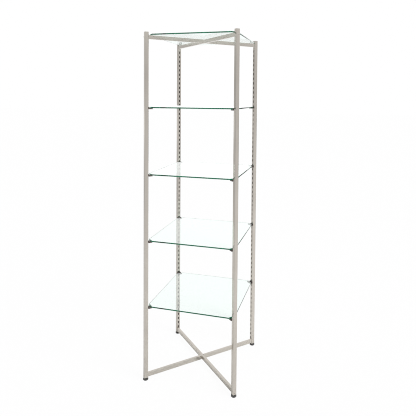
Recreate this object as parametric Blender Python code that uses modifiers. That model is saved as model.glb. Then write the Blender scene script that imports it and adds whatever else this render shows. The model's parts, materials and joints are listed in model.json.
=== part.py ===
"""Glass shelving tower: slotted square posts joined by crossed rails, with clipped square glass shelves.

The lower shelves lie on hooked rests in the posts' slots, and the top one lies on the upper rails.
Metres, +Z up, origin on the floor below the middle of the tower, front side facing -Y.
"""
import math

import bmesh
import bpy
from mathutils import Matrix

# Tower
HEIGHT = 1.727
POST_SPACING = 0.452
CLEARANCE = 0.0003

# Posts: square tube, turned so that one face looks at the middle of the tower
POST_SIDE = 0.019
POST_WALL = 0.0015
POST_CORNER = 0.002
CAP_THICKNESS = 0.0015
CAP_PLUG = 0.012
CAP_BEVEL = 0.0005

# Slots in each post's inner face, between the two levels of rails
SLOT_PITCH = 0.0254
SLOT_HEIGHT = 0.013
SLOT_WIDTH = 0.005
SLOT_MARGIN = 0.0043

# Rails: rectangular tube on edge, all at the same two levels, so that they cross flush
RAIL_HEIGHT = 0.019
RAIL_WIDTH = 0.0127
RAIL_WALL = 0.0015
RAIL_CORNER = 0.0015
RAIL_TOP_DROP = 0.0154
RAIL_BOTTOM_RISE = 0.002
RAIL_INSERT = 0.022

# Screws through the posts into the rail ends
SCREW_RADIUS = 0.0025
SCREW_REACH = 0.014
SCREW_HEAD_RADIUS = 0.00475
SCREW_HEAD_HEIGHT = 0.00275
SCREW_HEAD_RIM = 0.0009
SCREW_FACE_RADIUS = 0.003
SOCKET_ACROSS = 0.003
SOCKET_DEPTH = 0.0015

# Levelling feet, each on a threaded stem in a flanged plug
FOOT_RADIUS = 0.013
FOOT_CHAMFER = 0.0015
FOOT_RIM = 0.006
FOOT_HEIGHT = 0.0095
FOOT_NECK_RADIUS = 0.0065
STEM_RADIUS = 0.004
STEM_SHOWS = 0.001
FOOT_FLANGE = 0.0012
PLUG_BELOW_SCREW = 0.0013

# Glass
GLASS_THICKNESS = 0.006
GLASS_INSET = 0.004
GLASS_ARRIS = 0.0006
CORNER_GAP = 0.0135
SHELF_STEP = 13

# Shelf rests: pressed plate with turned-down edges and a hook through the slot
REST_THICKNESS = 0.002
REST_WIDTH = 0.0254
REST_BEARING = 0.006
REST_LIP = 0.005
REST_RISE = 0.006
HOOK_LENGTH = 0.0018
HOOK_NECK = 0.0035
HOOK_DROP = 0.0045
HOOK_ABOVE_LEDGE = 0.002

# How finely round shapes are faceted, and the angle up to which they shade smooth
ARC_STEPS = 3
ROUND_STEPS = 24
SMALL_ROUND_STEPS = 16
SMOOTH_ANGLE = math.radians(30)

# Places that follow from the sizes above
DIAGONAL = POST_SPACING / math.sqrt(2)
POST_FACE = POST_SIDE / 2
PLUG_SIDE = POST_SIDE - 2 * (POST_WALL + CLEARANCE)
FLANGE_BOTTOM = FOOT_HEIGHT + STEM_SHOWS
FLANGE_TOP = FLANGE_BOTTOM + FOOT_FLANGE
POST_BOTTOM = FLANGE_TOP + CLEARANCE
POST_TOP = HEIGHT - CAP_THICKNESS - CLEARANCE
RAIL_LEVELS = {
    "bottom": POST_BOTTOM + RAIL_BOTTOM_RISE + RAIL_HEIGHT / 2,
    "top": HEIGHT - RAIL_TOP_DROP - RAIL_HEIGHT / 2,
}
RAIL_START = POST_FACE + CLEARANCE
PLUG_TOP = RAIL_LEVELS["bottom"] - SCREW_RADIUS - PLUG_BELOW_SCREW
SCREW_HOLE_RADIUS = SCREW_RADIUS + CLEARANCE
STEM_HOLE_RADIUS = STEM_RADIUS + CLEARANCE
SLOT_INSET = RAIL_HEIGHT / 2 + SLOT_MARGIN + SLOT_HEIGHT / 2
SLOT_FIRST = RAIL_LEVELS["bottom"] + SLOT_INSET
SLOT_COUNT = math.floor((RAIL_LEVELS["top"] - SLOT_INSET - SLOT_FIRST) / SLOT_PITCH) + 1
GLASS_SIDE = POST_SPACING - 2 * GLASS_INSET
GLASS_CLIP = GLASS_SIDE - math.sqrt(2) * (DIAGONAL - POST_FACE - CORNER_GAP)
TOP_GLASS_LEVEL = RAIL_LEVELS["top"] + RAIL_HEIGHT / 2 + CLEARANCE
REST_LEDGE = CORNER_GAP + REST_BEARING
HOOK_WIDTH = SLOT_WIDTH - 2 * CLEARANCE

# A lower shelf at every step of slots, with none in the half step below the top
LOWER_SHELVES = (SLOT_COUNT - SHELF_STEP // 2) // SHELF_STEP

# The corners, each with its direction from the middle of the tower
CORNERS = {"front_left": (-1, -1), "front_right": (1, -1), "back_right": (1, 1), "back_left": (-1, 1)}
HALF_RAIL_CORNERS = ("front_left", "back_right")
THROUGH_RAIL_CORNER = "front_right"


def clear_scene():
    for item in list(bpy.data.objects):
        bpy.data.objects.remove(item, do_unlink=True)


def make_collection(name):
    collection = bpy.data.collections.new(name)
    bpy.context.scene.collection.children.link(collection)
    return collection


def make_material(name, colour, roughness, metallic=0.0, transmission=0.0):
    material = bpy.data.materials.new(name)
    material.use_nodes = True
    shader = material.node_tree.nodes["Principled BSDF"]
    shader.inputs["Base Color"].default_value = (*colour, 1.0)
    shader.inputs["Roughness"].default_value = roughness
    shader.inputs["Metallic"].default_value = metallic
    shader.inputs["Transmission Weight"].default_value = transmission
    return material


# Outlines, as lists of points round the middle of a section
def rectangle(width, depth):
    x, y = width / 2, depth / 2
    return [(x, y), (-x, y), (-x, -y), (x, -y)]


def rounded_rectangle(width, depth, radius):
    x, y = width / 2 - radius, depth / 2 - radius
    points = []
    for quarter, (centre_x, centre_y) in enumerate(rectangle(2 * x, 2 * y)):
        for step in range(ARC_STEPS + 1):
            angle = math.pi / 2 * (quarter + step / ARC_STEPS)
            points.append((centre_x + radius * math.cos(angle), centre_y + radius * math.sin(angle)))
    return points


def circle(radius):
    turns = [2 * math.pi * step / SMALL_ROUND_STEPS for step in range(SMALL_ROUND_STEPS)]
    return [(radius * math.cos(turn), radius * math.sin(turn)) for turn in turns]


def clipped_square(side, clip):
    points = []
    for x, y in rectangle(side, side):
        on_side = (x, y - math.copysign(clip, y))
        on_end = (x - math.copysign(clip, x), y)
        points += [on_side, on_end] if x * y > 0 else [on_end, on_side]
    return points


def evaluated_mesh(item):
    """The mesh of a curve or of an object with modifiers, which is then removed."""
    bpy.context.scene.collection.objects.link(item)
    graph = bpy.context.evaluated_depsgraph_get()
    mesh = bpy.data.meshes.new_from_object(item.evaluated_get(graph))
    bpy.data.objects.remove(item, do_unlink=True)
    return mesh


def extruded(loops, length):
    """A closed mesh from z = 0 up to length, with the first outline outside and any others as holes."""
    curve = bpy.data.curves.new("outline", "CURVE")
    curve.dimensions = "2D"
    curve.fill_mode = "BOTH"
    curve.extrude = length / 2
    for loop in loops:
        spline = curve.splines.new("POLY")
        spline.points.add(len(loop) - 1)
        for point, (x, y) in zip(spline.points, loop):
            point.co = (x, y, 0.0, 1.0)
        spline.use_cyclic_u = True
    mesh = evaluated_mesh(bpy.data.objects.new("outline", curve))
    bpy.data.curves.remove(curve)
    shape = bmesh.new()
    shape.from_mesh(mesh)
    bmesh.ops.remove_doubles(shape, verts=shape.verts, dist=0.00001)
    bmesh.ops.recalc_face_normals(shape, faces=shape.faces)
    bmesh.ops.translate(shape, verts=shape.verts, vec=(0.0, 0.0, length / 2))
    shape.to_mesh(mesh)
    shape.free()
    mesh.materials.clear()
    return mesh


def tube(width, depth, corner, wall, length):
    outside = rounded_rectangle(width, depth, corner)
    inside = rectangle(width - 2 * wall, depth - 2 * wall)
    return extruded([outside, inside], length)


def turned(profile, steps):
    """A round mesh about Z, from a profile of radius and height that runs from the top down."""
    mesh = bpy.data.meshes.new("profile")
    edges = [(point, point + 1) for point in range(len(profile) - 1)]
    mesh.from_pydata([(radius, 0.0, height) for radius, height in profile], edges, [])
    item = bpy.data.objects.new("profile", mesh)
    screw = item.modifiers.new("Screw", "SCREW")
    screw.angle = 2 * math.pi
    screw.steps = steps
    screw.render_steps = steps
    screw.use_merge_vertices = True
    screw.merge_threshold = 0.00001
    round_mesh = evaluated_mesh(item)
    bpy.data.meshes.remove(mesh)
    round_mesh.shade_smooth()
    round_mesh.set_sharp_from_angle(angle=SMOOTH_ANGLE)
    return round_mesh


def prism(sides, radius, length):
    """A prism about the middle of its length, along Z."""
    shape = bmesh.new()
    bmesh.ops.create_cone(shape, cap_ends=True, segments=sides, radius1=radius, radius2=radius, depth=length)
    mesh = bpy.data.meshes.new("prism")
    shape.to_mesh(mesh)
    shape.free()
    return mesh


def along_x(mesh):
    """Lay a mesh that was made along Z down along X."""
    mesh.transform(Matrix.Rotation(math.pi / 2, 4, "Y"))
    return mesh


class Tower:
    """The collections, materials and corner frames of the model, and the ways to add pieces to it."""

    def __init__(self):
        self.parts = make_collection("glass_shelving_tower")
        self.cutters = make_collection("cutters")
        self.middle = self.add_empty("tower", None, (0.0, 0.0, 0.0), 0.0)
        self.corners = {}
        for name, (x, y) in CORNERS.items():
            place = (x * POST_SPACING / 2, y * POST_SPACING / 2, 0.0)
            self.corners[name] = self.add_empty(f"corner_{name}", self.middle, place, math.atan2(-y, -x))
        self.nickel = make_material("satin_nickel", (0.60, 0.57, 0.53), 0.32, metallic=1.0)
        self.zinc = make_material("zinc_steel", (0.62, 0.62, 0.60), 0.30, metallic=1.0)
        self.black_steel = make_material("black_steel", (0.03, 0.03, 0.03), 0.45)
        self.black_plastic = make_material("black_plastic", (0.04, 0.04, 0.04), 0.55)
        self.glass = make_material("clear_glass", (0.80, 0.95, 0.89), 0.02, transmission=1.0)

    def add_empty(self, name, parent, location, turn):
        """A frame for pieces. At a corner, its +X points to the middle of the tower."""
        item = bpy.data.objects.new(name, None)
        item.parent = parent
        item.location = location
        item.rotation_euler = (0.0, 0.0, turn)
        self.parts.objects.link(item)
        return item

    def add(self, name, mesh, material, parent, location):
        mesh.name = name
        mesh.materials.append(material)
        item = bpy.data.objects.new(name, mesh)
        item.parent = parent
        item.location = location
        self.parts.objects.link(item)
        return item

    def combine(self, item, operation, mesh, location):
        """Cut a mesh out of a piece, or join it on, with its place given in the same frame as the piece's."""
        tool = bpy.data.objects.new(f"{item.name}_{operation.lower()}", mesh)
        tool.parent = item.parent
        tool.location = location
        tool.hide_render = True
        tool.display_type = "WIRE"
        self.cutters.objects.link(tool)
        modifier = item.modifiers.new(operation.capitalize(), "BOOLEAN")
        modifier.operation = operation
        modifier.solver = "EXACT"
        modifier.object = tool


def add_bevel(item, width):
    bevel = item.modifiers.new("Bevel", "BEVEL")
    bevel.width = width
    bevel.segments = 1
    bevel.limit_method = "ANGLE"


def slot_boxes():
    """All the slots of a post as boxes through its inner wall, with heights from the floor."""
    depth = POST_WALL + 2 * POST_CORNER
    middle = POST_FACE - POST_WALL / 2
    shape = bmesh.new()
    for number in range(SLOT_COUNT):
        place = Matrix.Translation((middle, 0.0, SLOT_FIRST + number * SLOT_PITCH))
        size = Matrix.Diagonal((depth, SLOT_WIDTH, SLOT_HEIGHT, 1.0))
        bmesh.ops.create_cube(shape, size=1.0, matrix=place @ size)
    mesh = bpy.data.meshes.new("slots")
    shape.to_mesh(mesh)
    shape.free()
    return mesh


def add_post(tower, corner):
    """A slotted post with its screw holes."""
    mesh = tube(POST_SIDE, POST_SIDE, POST_CORNER, POST_WALL, POST_TOP - POST_BOTTOM)
    post = tower.add(f"post_{corner}", mesh, tower.nickel, tower.corners[corner], (0.0, 0.0, POST_BOTTOM))
    tower.combine(post, "DIFFERENCE", slot_boxes(), (0.0, 0.0, 0.0))
    for level in RAIL_LEVELS.values():
        hole = along_x(prism(SMALL_ROUND_STEPS, SCREW_HOLE_RADIUS, 2 * POST_SIDE))
        tower.combine(post, "DIFFERENCE", hole, (0.0, 0.0, level))


def add_post_cap(tower, corner):
    """A cap on a plug in the top of a post."""
    bottom = HEIGHT - CAP_THICKNESS
    mesh = extruded([rounded_rectangle(POST_SIDE, POST_SIDE, POST_CORNER)], CAP_THICKNESS)
    cap = tower.add(f"post_cap_{corner}", mesh, tower.nickel, tower.corners[corner], (0.0, 0.0, bottom))
    add_bevel(cap, CAP_BEVEL)
    plug = extruded([rectangle(PLUG_SIDE, PLUG_SIDE)], CAP_PLUG + CAP_THICKNESS / 2)
    tower.combine(cap, "UNION", plug, (0.0, 0.0, bottom - CAP_PLUG))


def add_foot_socket(tower, corner):
    """The flanged plug in the bottom of a post, threaded for a foot's stem."""
    mesh = extruded([rounded_rectangle(POST_SIDE, POST_SIDE, POST_CORNER)], FOOT_FLANGE)
    frame = tower.corners[corner]
    socket = tower.add(f"foot_socket_{corner}", mesh, tower.black_plastic, frame, (0.0, 0.0, FLANGE_BOTTOM))
    plug_bottom = FLANGE_BOTTOM + FOOT_FLANGE / 2
    plug = extruded([rectangle(PLUG_SIDE, PLUG_SIDE)], PLUG_TOP - plug_bottom)
    tower.combine(socket, "UNION", plug, (0.0, 0.0, plug_bottom))
    hole = prism(SMALL_ROUND_STEPS, STEM_HOLE_RADIUS, 2 * PLUG_TOP)
    tower.combine(socket, "DIFFERENCE", hole, (0.0, 0.0, PLUG_TOP))


def add_foot(tower, corner):
    """A levelling foot, turned in one piece with its stem."""
    profile = [
        (0.0, PLUG_TOP),
        (STEM_RADIUS, PLUG_TOP),
        (STEM_RADIUS, FOOT_HEIGHT),
        (FOOT_NECK_RADIUS, FOOT_HEIGHT),
        (FOOT_RADIUS, FOOT_RIM),
        (FOOT_RADIUS, FOOT_CHAMFER),
        (FOOT_RADIUS - FOOT_CHAMFER, 0.0),
        (0.0, 0.0),
    ]
    mesh = turned(profile, ROUND_STEPS)
    tower.add(f"levelling_foot_{corner}", mesh, tower.black_plastic, tower.corners[corner], (0.0, 0.0, 0.0))


def add_rail(tower, name, corner, level, length):
    """A rail from a post's inner face towards the middle of the tower."""
    mesh = along_x(tube(RAIL_HEIGHT, RAIL_WIDTH, RAIL_CORNER, RAIL_WALL, length))
    tower.add(name, mesh, tower.nickel, tower.corners[corner], (RAIL_START, 0.0, level))


def add_cross(tower, level_name, level):
    """One rail right through from corner to corner, and two half rails that butt against its sides."""
    to_middle = DIAGONAL - RAIL_START
    add_rail(tower, f"rail_{level_name}_through", THROUGH_RAIL_CORNER, level, 2 * to_middle)
    for corner in HALF_RAIL_CORNERS:
        length = to_middle - RAIL_WIDTH / 2 - CLEARANCE
        add_rail(tower, f"rail_{level_name}_{corner}", corner, level, length)


def add_rail_insert(tower, corner, level_name, level):
    """The threaded block in the end of a rail."""
    inset = 2 * (RAIL_WALL + CLEARANCE)
    block = rectangle(RAIL_HEIGHT - inset, RAIL_WIDTH - inset)
    mesh = along_x(extruded([block, circle(SCREW_HOLE_RADIUS)], RAIL_INSERT))
    name = f"rail_insert_{level_name}_{corner}"
    tower.add(name, mesh, tower.zinc, tower.corners[corner], (RAIL_START, 0.0, level))


def add_post_screw(tower, corner, level_name, level):
    """The button-headed screw from the outer face of a post into a rail's insert."""
    tip = POST_SIDE + SCREW_REACH
    profile = [
        (0.0, tip),
        (SCREW_RADIUS, tip),
        (SCREW_RADIUS, 0.0),
        (SCREW_HEAD_RADIUS, 0.0),
        (SCREW_HEAD_RADIUS, -SCREW_HEAD_RIM),
        (SCREW_FACE_RADIUS, -SCREW_HEAD_HEIGHT),
        (0.0, -SCREW_HEAD_HEIGHT),
    ]
    mesh = along_x(turned(profile, SMALL_ROUND_STEPS))
    under_head = -POST_FACE - CLEARANCE
    name = f"post_screw_{level_name}_{corner}"
    screw = tower.add(name, mesh, tower.nickel, tower.corners[corner], (under_head, 0.0, level))
    socket = along_x(prism(6, SOCKET_ACROSS / math.sqrt(3), 2 * SOCKET_DEPTH))
    tower.combine(screw, "DIFFERENCE", socket, (under_head - SCREW_HEAD_HEIGHT, 0.0, level))


def rest_level(slot):
    """Height of the top of a rest's ledge, when its hook sits on the lower edge of a slot."""
    slot_bottom = SLOT_FIRST + slot * SLOT_PITCH - SLOT_HEIGHT / 2
    return slot_bottom + CLEARANCE - HOOK_ABOVE_LEDGE


def side_plate(outline, thickness):
    """An outline of distance from the post and height, extruded sideways about the post's middle."""
    mesh = extruded([outline], thickness)
    mesh.transform(Matrix.Translation((0.0, 0.0, -thickness / 2)))
    mesh.transform(Matrix.Rotation(math.pi / 2, 4, "X"))
    return mesh


def add_rest(tower, shelf, corner, level):
    """A pressed steel rest: a plate against the post, a hollow ledge, and a hook through the slot."""
    back = CLEARANCE
    face = back + REST_THICKNESS
    lip = REST_LEDGE - REST_THICKNESS
    block = [
        (back, REST_RISE),
        (back, -REST_LIP),
        (REST_LEDGE, -REST_LIP),
        (REST_LEDGE, 0.0),
        (face, 0.0),
        (face, REST_RISE),
    ]
    hollow = [
        (face, -REST_THICKNESS),
        (face, -2 * REST_LIP),
        (lip, -2 * REST_LIP),
        (lip, -REST_THICKNESS),
    ]
    root = back + REST_THICKNESS / 2
    behind_wall = -POST_WALL - CLEARANCE
    hook_back = behind_wall - HOOK_LENGTH
    neck_top = HOOK_ABOVE_LEDGE + HOOK_NECK
    hook_tip = HOOK_ABOVE_LEDGE - HOOK_DROP
    hook = [
        (root, neck_top),
        (hook_back, neck_top),
        (hook_back, hook_tip),
        (behind_wall, hook_tip),
        (behind_wall, HOOK_ABOVE_LEDGE),
        (root, HOOK_ABOVE_LEDGE),
    ]
    place = (POST_FACE, 0.0, level)
    mesh = side_plate(block, REST_WIDTH)
    rest = tower.add(f"shelf_rest_{shelf}_{corner}", mesh, tower.black_steel, tower.corners[corner], place)
    tower.combine(rest, "DIFFERENCE", side_plate(hollow, REST_WIDTH - 2 * REST_THICKNESS), place)
    tower.combine(rest, "UNION", side_plate(hook, HOOK_WIDTH), place)


def add_glass(tower, shelf, level):
    mesh = extruded([clipped_square(GLASS_SIDE, GLASS_CLIP)], GLASS_THICKNESS)
    glass = tower.add(f"glass_shelf_{shelf}", mesh, tower.glass, tower.middle, (0.0, 0.0, level))
    add_bevel(glass, GLASS_ARRIS)


def add_lower_shelves(tower):
    """The shelves on rests, numbered down from the second."""
    for below_top in range(LOWER_SHELVES):
        shelf = below_top + 2
        level = rest_level(SHELF_STEP * (LOWER_SHELVES - below_top))
        for corner in CORNERS:
            add_rest(tower, shelf, corner, level)
        add_glass(tower, shelf, level + CLEARANCE)


def main():
    clear_scene()
    tower = Tower()
    for corner in CORNERS:
        add_post(tower, corner)
        add_post_cap(tower, corner)
        add_foot_socket(tower, corner)
        add_foot(tower, corner)
    for level_name, level in RAIL_LEVELS.items():
        add_cross(tower, level_name, level)
        for corner in CORNERS:
            add_rail_insert(tower, corner, level_name, level)
            add_post_screw(tower, corner, level_name, level)
    add_glass(tower, 1, TOP_GLASS_LEVEL)
    add_lower_shelves(tower)


main()
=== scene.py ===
import json
import math

import bmesh
import bpy
from mathutils import Matrix, Vector

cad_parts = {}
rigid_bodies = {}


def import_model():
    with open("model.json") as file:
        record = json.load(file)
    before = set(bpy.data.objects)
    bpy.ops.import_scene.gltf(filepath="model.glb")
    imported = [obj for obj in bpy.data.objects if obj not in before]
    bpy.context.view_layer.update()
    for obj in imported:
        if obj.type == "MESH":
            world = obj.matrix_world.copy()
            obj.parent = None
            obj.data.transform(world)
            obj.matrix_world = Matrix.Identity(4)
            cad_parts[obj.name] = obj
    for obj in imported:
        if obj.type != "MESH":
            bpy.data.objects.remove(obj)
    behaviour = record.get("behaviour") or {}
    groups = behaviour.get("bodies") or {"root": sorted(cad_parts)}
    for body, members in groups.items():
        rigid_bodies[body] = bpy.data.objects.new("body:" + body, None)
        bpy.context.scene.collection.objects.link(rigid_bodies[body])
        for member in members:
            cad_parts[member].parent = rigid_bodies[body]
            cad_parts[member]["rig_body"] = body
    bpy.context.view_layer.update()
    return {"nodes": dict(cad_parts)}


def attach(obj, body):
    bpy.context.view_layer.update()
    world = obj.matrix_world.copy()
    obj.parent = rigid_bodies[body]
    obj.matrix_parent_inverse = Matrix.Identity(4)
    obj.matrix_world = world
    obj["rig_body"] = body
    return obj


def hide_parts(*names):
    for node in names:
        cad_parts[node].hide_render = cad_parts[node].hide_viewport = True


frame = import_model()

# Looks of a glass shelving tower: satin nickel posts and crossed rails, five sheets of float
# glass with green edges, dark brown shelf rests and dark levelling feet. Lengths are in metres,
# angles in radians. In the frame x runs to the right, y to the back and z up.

# Camera, at the photograph's viewing angle. Places in the picture are in its pixels
IMAGE_SIDE = 416
CAMERA_PLACE = (0.68157, -2.19444, 1.41136)
CAMERA_YAW = -0.26663
CAMERA_PITCH = 0.03887
CAMERA_ROLL = -0.00810
FOCAL_PIXELS = 438.07
AXIS_PIXEL = (219.22, 114.53)
SENSOR_WIDTH = 36.0

# Floor: pale, so that it shows white and keeps a faint shadow
FLOOR_SIDE = 80.0
FLOOR_PALE = 0.86
FLOOR_ROUGHNESS = 0.9
FLOOR_GLOW = 0.95

# Floor where it is mirrored: dim to the left, brighter towards the back, dark in the back right
# corner. Each pair says from where to where along x or y the level changes
FLOOR_MIRRORED_LEFT = 0.62
FLOOR_MIRRORED_RIGHT = 1.0
FLOOR_FADE = (-4.0, 1.0)
FLOOR_MIRRORED_NEAR = 0.93
FLOOR_MIRRORED_FAR = 1.20
FLOOR_RISE = (-1.5, 0.2)
FLOOR_MIRRORED_BACK = 1.12
FLOOR_BACK = (2.0, 6.0)
FLOOR_MIRRORED_CORNER = 0.15
FLOOR_CORNER_X = (0.3, 0.7)
FLOOR_CORNER_Y = (0.4, 1.2)

# Room: white to look at. Where it is mirrored, it is dim at the sides, to the left most, white
# above, and brighter than white in a low band behind. Each pair is a range of a direction's x, y
# or z in which the level changes
ROOM_SEEN = 1.0
ROOM_SCATTERED = 0.58
ROOM_LEFT = 0.58
ROOM_RIGHT = 0.76
ROOM_SIDES = (-0.95, 0.95)
ROOM_ABOVE = 1.0
ROOM_ABOVE_FROM = (0.08, 0.22)
ROOM_BEHIND = 1.25
ROOM_BEHIND_FROM = (0.25, 0.7)
ROOM_BEHIND_TOP = (0.42, 0.48)
WHITE = (1.0, 1.0, 1.0, 1.0)

# Key light: soft, from the right
KEY_FROM = (0.80, -0.30, 0.75)
KEY_STRENGTH = 2.3
KEY_ANGLE = math.radians(30)

# Plated metal: satin nickel and zinc
NICKEL_DARK = (0.520, 0.482, 0.435, 1.0)
NICKEL_LIGHT = (0.612, 0.572, 0.520, 1.0)
NICKEL_ROUGHNESS = (0.12, 0.19)
ZINC_DARK = (0.50, 0.50, 0.48, 1.0)
ZINC_LIGHT = (0.66, 0.66, 0.64, 1.0)
ZINC_ROUGHNESS = (0.28, 0.42)
GRAIN_FINE = 1400.0
GRAIN_LONG = 12.0
GRAIN_DETAIL = 3.0
GRAIN_BUMP = 0.06
GRAIN_DEPTH = 0.0002
METAL_CLOUDS = 9.0
METAL_CLOUDS_DETAIL = 4.0
RAIL_TURN = math.pi / 4

# Skins: raw steel in the tubes, painted near black and without gloss as their shade, powder coat
# and nylon
INSIDE_SHADE_DARK = (0.045, 0.039, 0.030, 1.0)
INSIDE_SHADE_LIGHT = (0.100, 0.086, 0.066, 1.0)
INSIDE_ROUGHNESS = (0.55, 0.75)
INSIDE_PEBBLES = 700.0
INSIDE_BUMP = 0.3
INSIDE_SHADE_GLOSS = 0.0
POWDER_DARK = (0.046, 0.034, 0.030, 1.0)
POWDER_LIGHT = (0.105, 0.080, 0.071, 1.0)
POWDER_ROUGHNESS = (0.35, 0.5)
POWDER_PEBBLES = 900.0
POWDER_BUMP = 0.25
NYLON_DARK = (0.040, 0.039, 0.038, 1.0)
NYLON_LIGHT = (0.085, 0.083, 0.080, 1.0)
NYLON_ROUGHNESS = (0.22, 0.34)
NYLON_PEBBLES = 1500.0
NYLON_BUMP = 0.12
PLAIN_GLOSS = 0.5
PEBBLE_DETAIL = 2.0
PEBBLE_DEPTH = 0.0003
SKIN_CLOUDS = 60.0
SKIN_CLOUDS_DETAIL = 3.0

# Float glass. A face is an upper one where its normal's z is above GLASS_UPPER
GLASS_FACE = (0.95, 1.0, 0.98, 1.0)
GLASS_EDGE = (0.008, 0.38, 0.25, 1.0)
GLASS_HAZE = 0.18
GLASS_IOR = 1.52
GLASS_ABSORBS = (0.175, 0.625, 0.51, 1.0)
GLASS_DENSITY = 7.0
GLASS_UPPER = 0.9

# Shapes. POST_PLACE is the middle of a post along x and y, and the three sizes after it are
# measured from there. A face is upright where its normal's z is below UPRIGHT_BELOW
WELD = 0.00001
FLAT_ANGLE = math.radians(0.5)
SMOOTH_ANGLE = math.radians(40)
REST_BEVEL = 0.0004
REST_BEVEL_SEGMENTS = 2
POST_PLACE = 0.226
POST_INSIDE = 0.0081
SLOT_REACH = 0.0093
SLOT_HALF = 0.0026
UPRIGHT_BELOW = 0.5

# Middle of the range of a noise, which is carried over to a range of its own
NOISE_LOW = 0.3
NOISE_HIGH = 0.7

# Colour sockets of a mix node, which share their names with its other sockets
MIX_FIRST = 6
MIX_SECOND = 7
MIX_RESULT = 2

# Render: enough bounces for light to run the length of a sheet, and the photograph's sharpness
BOUNCES = 48
PIXEL_FILTER = 1.0


def new_material(name):
    """A new material with its node tree, its Principled shader and its output."""
    material = bpy.data.materials.new(name)
    material.use_nodes = True
    tree = material.node_tree
    return material, tree, tree.nodes["Principled BSDF"], tree.nodes["Material Output"]


def add_node(tree, kind, **values):
    """A new node with the given settings."""
    node = tree.nodes.new(kind)
    for key, value in values.items():
        setattr(node, key, value)
    return node


def calculated(tree, operation, first, second):
    """The result of an operation on two values, each a socket or a number."""
    node = add_node(tree, "ShaderNodeMath", operation=operation)
    for socket, value in zip(node.inputs, (first, second)):
        if isinstance(value, (int, float)):
            socket.default_value = value
        else:
            tree.links.new(value, socket)
    return node.outputs["Value"]


def blended(tree, factor, first, second):
    """A number between first and second, each a socket or a number."""
    rest = calculated(tree, "SUBTRACT", 1.0, factor)
    return calculated(tree, "ADD", calculated(tree, "MULTIPLY", first, rest),
                      calculated(tree, "MULTIPLY", second, factor))


def mapped(tree, value, low, high, start=NOISE_LOW, end=NOISE_HIGH):
    """The value from start to end, carried over to low to high."""
    node = add_node(tree, "ShaderNodeMapRange")
    node.inputs["From Min"].default_value = start
    node.inputs["From Max"].default_value = end
    node.inputs["To Min"].default_value = low
    node.inputs["To Max"].default_value = high
    tree.links.new(value, node.inputs["Value"])
    return node.outputs["Result"]


def mixed(tree, factor, first, second):
    """A colour between first and second."""
    node = add_node(tree, "ShaderNodeMix", data_type="RGBA")
    node.inputs[MIX_FIRST].default_value = first
    node.inputs[MIX_SECOND].default_value = second
    tree.links.new(factor, node.inputs["Factor"])
    return node.outputs[MIX_RESULT]


def axis_parts(tree, vector):
    """The three parts of a vector."""
    parts = add_node(tree, "ShaderNodeSeparateXYZ")
    tree.links.new(vector, parts.inputs["Vector"])
    return parts.outputs["X"], parts.outputs["Y"], parts.outputs["Z"]


def noise_of(tree, coordinates, scale, detail, rotation=(0.0, 0.0, 0.0)):
    """A noise that is stretched by unlike scales along the axes turned by rotation."""
    turn = add_node(tree, "ShaderNodeMapping")
    turn.inputs["Rotation"].default_value = rotation
    stretch = add_node(tree, "ShaderNodeMapping")
    stretch.inputs["Scale"].default_value = scale
    noise = add_node(tree, "ShaderNodeTexNoise")
    noise.inputs["Scale"].default_value = 1.0
    noise.inputs["Detail"].default_value = detail
    tree.links.new(coordinates, turn.inputs["Vector"])
    tree.links.new(turn.outputs["Vector"], stretch.inputs["Vector"])
    tree.links.new(stretch.outputs["Vector"], noise.inputs["Vector"])
    return noise.outputs["Fac"]


def bumped(tree, height, shader, strength, distance):
    """Gives the shader a bump from a height."""
    node = add_node(tree, "ShaderNodeBump")
    node.inputs["Strength"].default_value = strength
    node.inputs["Distance"].default_value = distance
    tree.links.new(height, node.inputs["Height"])
    tree.links.new(node.outputs["Normal"], shader.inputs["Normal"])


def brushed_metal(name, dark, light, roughness, turn, stretch):
    """Plated metal with a fine grain along one direction and faint cloudy patches."""
    material, tree, shader, _ = new_material(name)
    place = add_node(tree, "ShaderNodeTexCoord").outputs["Object"]
    grain = noise_of(tree, place, stretch, GRAIN_DETAIL, rotation=turn)
    clouds = noise_of(tree, place, (METAL_CLOUDS,) * 3, METAL_CLOUDS_DETAIL)
    both = calculated(tree, "ADD", mapped(tree, grain, 0.0, 0.5), mapped(tree, clouds, 0.0, 0.5))
    tree.links.new(mixed(tree, both, dark, light), shader.inputs["Base Color"])
    tree.links.new(mapped(tree, grain, *roughness), shader.inputs["Roughness"])
    shader.inputs["Metallic"].default_value = 1.0
    bumped(tree, grain, shader, GRAIN_BUMP, GRAIN_DEPTH)
    return material


def skinned(name, dark, light, roughness, pebbles, bump, gloss=PLAIN_GLOSS):
    """A dull coat or moulded plastic with a pebbled skin, or raw steel painted near black as
    shade.
    """
    material, tree, shader, _ = new_material(name)
    place = add_node(tree, "ShaderNodeTexCoord").outputs["Object"]
    skin = noise_of(tree, place, (pebbles,) * 3, PEBBLE_DETAIL)
    clouds = noise_of(tree, place, (SKIN_CLOUDS,) * 3, SKIN_CLOUDS_DETAIL)
    tree.links.new(mixed(tree, clouds, dark, light), shader.inputs["Base Color"])
    tree.links.new(mapped(tree, clouds, *roughness), shader.inputs["Roughness"])
    shader.inputs["Specular IOR Level"].default_value = gloss
    bumped(tree, skin, shader, bump, PEBBLE_DEPTH)
    return material


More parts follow.
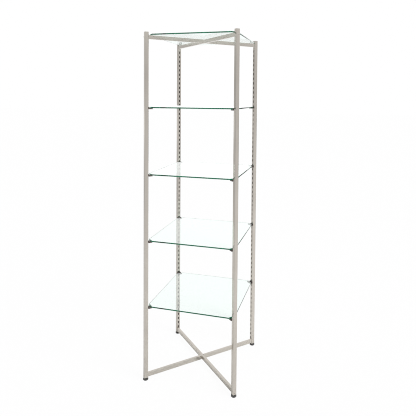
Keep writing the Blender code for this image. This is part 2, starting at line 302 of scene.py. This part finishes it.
def float_glass():
    """Clear glass with a pale haze on its upper face. It absorbs red, so its edges look green."""
    material, tree, shader, output = new_material("float_glass")
    normal = add_node(tree, "ShaderNodeTexCoord").outputs["Normal"]
    _, _, upward = axis_parts(tree, normal)
    flat = calculated(tree, "ABSOLUTE", upward, 0.0)
    tree.links.new(mixed(tree, flat, GLASS_EDGE, GLASS_FACE), shader.inputs["Base Color"])
    shader.inputs["Roughness"].default_value = 0.0
    shader.inputs["IOR"].default_value = GLASS_IOR
    backfacing = add_node(tree, "ShaderNodeNewGeometry").outputs["Backfacing"]
    outside = calculated(tree, "SUBTRACT", 1.0, backfacing)
    upper = calculated(tree, "GREATER_THAN", upward, GLASS_UPPER)
    haze = calculated(tree, "MULTIPLY", calculated(tree, "MULTIPLY", upper, outside), GLASS_HAZE)
    clear = calculated(tree, "SUBTRACT", 1.0, haze)
    tree.links.new(clear, shader.inputs["Transmission Weight"])
    absorption = add_node(tree, "ShaderNodeVolumeAbsorption")
    absorption.inputs["Color"].default_value = GLASS_ABSORBS
    absorption.inputs["Density"].default_value = GLASS_DENSITY
    tree.links.new(absorption.outputs["Volume"], output.inputs["Volume"])
    return material


def make_materials():
    """The finishes by name. The metal's grain runs along the piece."""
    upright = (GRAIN_FINE, GRAIN_FINE, GRAIN_LONG)
    level = (GRAIN_LONG, GRAIN_FINE, GRAIN_FINE)
    straight = (0.0, 0.0, 0.0)
    through = (0.0, 0.0, RAIL_TURN)
    half = (0.0, 0.0, -RAIL_TURN)
    nickel = (NICKEL_DARK, NICKEL_LIGHT, NICKEL_ROUGHNESS)
    zinc = (ZINC_DARK, ZINC_LIGHT, ZINC_ROUGHNESS)
    inside = (INSIDE_SHADE_DARK, INSIDE_SHADE_LIGHT, INSIDE_ROUGHNESS, INSIDE_PEBBLES, INSIDE_BUMP)
    powder = (POWDER_DARK, POWDER_LIGHT, POWDER_ROUGHNESS, POWDER_PEBBLES, POWDER_BUMP)
    nylon = (NYLON_DARK, NYLON_LIGHT, NYLON_ROUGHNESS, NYLON_PEBBLES, NYLON_BUMP)
    return {
        "upright": brushed_metal("nickel_upright", *nickel, straight, upright),
        "rail_through": brushed_metal("nickel_rail_through", *nickel, through, level),
        "rail_half": brushed_metal("nickel_rail_half", *nickel, half, level),
        "zinc": brushed_metal("zinc", *zinc, straight, upright),
        # Raw steel in the posts, painted near black and without gloss as their shade
        "inside": skinned("tube_inside_painted_shade", *inside, gloss=INSIDE_SHADE_GLOSS),
        "powder": skinned("powder_coat", *powder),
        "nylon": skinned("nylon", *nylon),
        "glass": float_glass(),
    }


def finish_of(name):
    """The finish that a node of the frame wears."""
    if name.startswith("glass_shelf"):
        return "glass"
    if name.startswith("shelf_rest"):
        return "powder"
    if name.startswith(("levelling_foot", "foot_socket")):
        return "nylon"
    if name.startswith("rail_insert"):
        return "zinc"
    if name.startswith("rail_"):
        return "rail_through" if name.endswith("through") else "rail_half"
    return "upright"


def clean_copy(node):
    """A welded copy of a node's mesh, with its flat faces whole and its round ones smooth."""
    mesh = node.data.copy()
    shape = bmesh.new()
    shape.from_mesh(mesh)
    bmesh.ops.remove_doubles(shape, verts=shape.verts, dist=WELD)
    bmesh.ops.dissolve_limit(shape, angle_limit=FLAT_ANGLE, verts=shape.verts, edges=shape.edges)
    bmesh.ops.recalc_face_normals(shape, faces=shape.faces)
    shape.to_mesh(mesh)
    shape.free()
    if "custom_normal" in mesh.attributes:
        mesh.attributes.remove(mesh.attributes["custom_normal"])
    mesh.materials.clear()
    mesh.shade_smooth()
    mesh.set_sharp_from_angle(angle=SMOOTH_ANGLE)
    return mesh


def paint_shade_inside(piece, material):
    """Raw steel, painted near black as the shade that falls in a post, on its inner faces and on
    the cut edges of its slots.
    """
    piece.data.materials.append(material)
    for face in piece.data.polygons:
        x, y = abs(face.center.x) - POST_PLACE, abs(face.center.y) - POST_PLACE
        across, along = abs(x + y) / math.sqrt(2), abs(x - y) / math.sqrt(2)
        upright = abs(face.normal.z) < UPRIGHT_BELOW
        inner = max(across, along) < POST_INSIDE and upright
        cut = across < SLOT_REACH and along < SLOT_HALF
        if inner or cut:
            face.material_index = 1


def dress(name, materials):
    """A finished piece in the place of a node."""
    node = frame["nodes"][name]
    piece = bpy.data.objects.new(f"{name}_finish", clean_copy(node))
    bpy.context.scene.collection.objects.link(piece)
    piece.data.materials.append(materials[finish_of(name)])
    # A post's inner faces and slot edges get painted shade
    if name.startswith("post_") and not name.startswith(("post_cap", "post_screw")):
        paint_shade_inside(piece, materials["inside"])
    if name.startswith("shelf_rest"):
        bevel = piece.modifiers.new("Bevel", "BEVEL")
        bevel.width = REST_BEVEL
        bevel.segments = REST_BEVEL_SEGMENTS
        bevel.limit_method = "ANGLE"
    # The glass doesn't mirror the posts and the upper rails, whose images would darken it
    if name.startswith(("rail_top", "post_")):
        piece.visible_glossy = False
    if name.startswith("glass_shelf"):
        piece.visible_shadow = False
    else:
        normals = piece.modifiers.new("Normals", "WEIGHTED_NORMAL")
        normals.keep_sharp = True
    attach(piece, node["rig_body"])
    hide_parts(name)


def make_camera():
    """The camera at the photograph's viewing angle."""
    data = bpy.data.cameras.new("camera")
    data.sensor_width = SENSOR_WIDTH
    data.lens = SENSOR_WIDTH * FOCAL_PIXELS / IMAGE_SIDE
    data.shift_x = (IMAGE_SIDE / 2 - AXIS_PIXEL[0]) / IMAGE_SIDE
    data.shift_y = (AXIS_PIXEL[1] - IMAGE_SIDE / 2) / IMAGE_SIDE
    camera = bpy.data.objects.new("camera", data)
    yaw = Matrix.Rotation(-CAMERA_YAW, 4, "Z")
    pitch = Matrix.Rotation(math.pi / 2 - CAMERA_PITCH, 4, "X")
    roll = Matrix.Rotation(-CAMERA_ROLL, 4, "Z")
    camera.matrix_world = Matrix.Translation(CAMERA_PLACE) @ yaw @ pitch @ roll
    bpy.context.scene.collection.objects.link(camera)
    bpy.context.scene.camera = camera


def ray_kinds(tree):
    """1 for rays seen directly or through glass, and 1 for mirrored rays."""
    path = add_node(tree, "ShaderNodeLightPath")
    direct, through = path.outputs["Is Camera Ray"], path.outputs["Is Transmission Ray"]
    seen = calculated(tree, "MAXIMUM", direct, through)
    return seen, path.outputs["Is Glossy Ray"]


def make_world():
    """A white room, which is dim at the sides and bright low behind where it is mirrored."""
    world = bpy.data.worlds.new("studio")
    bpy.context.scene.world = world
    world.use_nodes = True
    world.cycles.sampling_method = "NONE"
    tree = world.node_tree
    direction = add_node(tree, "ShaderNodeTexCoord").outputs["Generated"]
    x, y, z = axis_parts(tree, direction)
    sides = mapped(tree, x, ROOM_LEFT, ROOM_RIGHT, *ROOM_SIDES)
    behind = mapped(tree, y, 0.0, 1.0, *ROOM_BEHIND_FROM)
    above = mapped(tree, z, 0.0, 1.0, *ROOM_ABOVE_FROM)
    low = mapped(tree, z, ROOM_BEHIND, ROOM_ABOVE, *ROOM_BEHIND_TOP)
    lit = blended(tree, behind, ROOM_ABOVE, low)
    room = blended(tree, calculated(tree, "MAXIMUM", behind, above), sides, lit)
    seen, mirrored = ray_kinds(tree)
    level = blended(tree, seen, blended(tree, mirrored, ROOM_SCATTERED, room), ROOM_SEEN)
    background = tree.nodes["Background"]
    tree.links.new(level, background.inputs["Strength"])
    background.inputs["Color"].default_value = WHITE


def floor_material():
    """A pale floor that looks white, keeps a soft shadow, and has levels of its own in mirrors."""
    material, tree, shader, output = new_material("pale_floor")
    shader.inputs["Roughness"].default_value = FLOOR_ROUGHNESS
    shader.inputs["Specular IOR Level"].default_value = 0.0
    seen, mirrored = ray_kinds(tree)
    x, y, _ = axis_parts(tree, add_node(tree, "ShaderNodeNewGeometry").outputs["Position"])
    side = mapped(tree, x, FLOOR_MIRRORED_LEFT, FLOOR_MIRRORED_RIGHT, *FLOOR_FADE)
    depth = mapped(tree, y, FLOOR_MIRRORED_NEAR, FLOOR_MIRRORED_FAR, *FLOOR_RISE)
    front = calculated(tree, "MULTIPLY", side, depth)
    back = mapped(tree, y, 0.0, 1.0, *FLOOR_BACK)
    open_floor = blended(tree, back, front, FLOOR_MIRRORED_BACK)
    corner = calculated(tree, "MULTIPLY", mapped(tree, x, 0.0, 1.0, *FLOOR_CORNER_X),
                        mapped(tree, y, 0.0, 1.0, *FLOOR_CORNER_Y))
    dimmed = blended(tree, corner, open_floor, FLOOR_MIRRORED_CORNER)
    level = blended(tree, mirrored, 1.0, dimmed)
    pale = calculated(tree, "MULTIPLY", FLOOR_PALE, level)
    tree.links.new(pale, shader.inputs["Base Color"])
    glow = calculated(tree, "MULTIPLY", seen, FLOOR_GLOW)
    light = add_node(tree, "ShaderNodeEmission")
    choice = add_node(tree, "ShaderNodeMixShader")
    tree.links.new(glow, choice.inputs["Fac"])
    tree.links.new(shader.outputs["BSDF"], choice.inputs[1])
    tree.links.new(light.outputs["Emission"], choice.inputs[2])
    tree.links.new(choice.outputs["Shader"], output.inputs["Surface"])
    return material


def make_floor():
    """A wide flat floor under the feet."""
    mesh = bpy.data.meshes.new("floor")
    shape = bmesh.new()
    bmesh.ops.create_grid(shape, x_segments=1, y_segments=1, size=FLOOR_SIDE / 2)
    shape.to_mesh(mesh)
    shape.free()
    floor = bpy.data.objects.new("floor", mesh)
    bpy.context.scene.collection.objects.link(floor)
    floor.data.materials.append(floor_material())


def make_key_light():
    """A soft key light that throws shadows to the left, and isn't mirrored."""
    data = bpy.data.lights.new("key", "SUN")
    data.energy = KEY_STRENGTH
    data.angle = KEY_ANGLE
    key = bpy.data.objects.new("key", data)
    aim = (-Vector(KEY_FROM)).to_track_quat("-Z", "Y")
    key.matrix_world = Matrix.Translation(KEY_FROM) @ aim.to_matrix().to_4x4()
    key.visible_glossy = False
    key.visible_transmission = False
    bpy.context.scene.collection.objects.link(key)


def set_render_paths():
    """How light is followed, and how sharp the picture is."""
    cycles = bpy.context.scene.cycles
    cycles.max_bounces = BOUNCES
    cycles.glossy_bounces = BOUNCES
    cycles.transmission_bounces = BOUNCES
    cycles.filter_width = PIXEL_FILTER
    cycles.denoising_input_passes = "RGB"


def main():
    bpy.context.scene.view_settings.view_transform = "Standard"
    materials = make_materials()
    for name, node in frame["nodes"].items():
        if name.startswith("rail_insert"):
            for slot in node.material_slots:
                slot.material = materials[finish_of(name)]
        else:
            dress(name, materials)
    make_camera()
    make_world()
    make_floor()
    make_key_light()
    set_render_paths()


main()
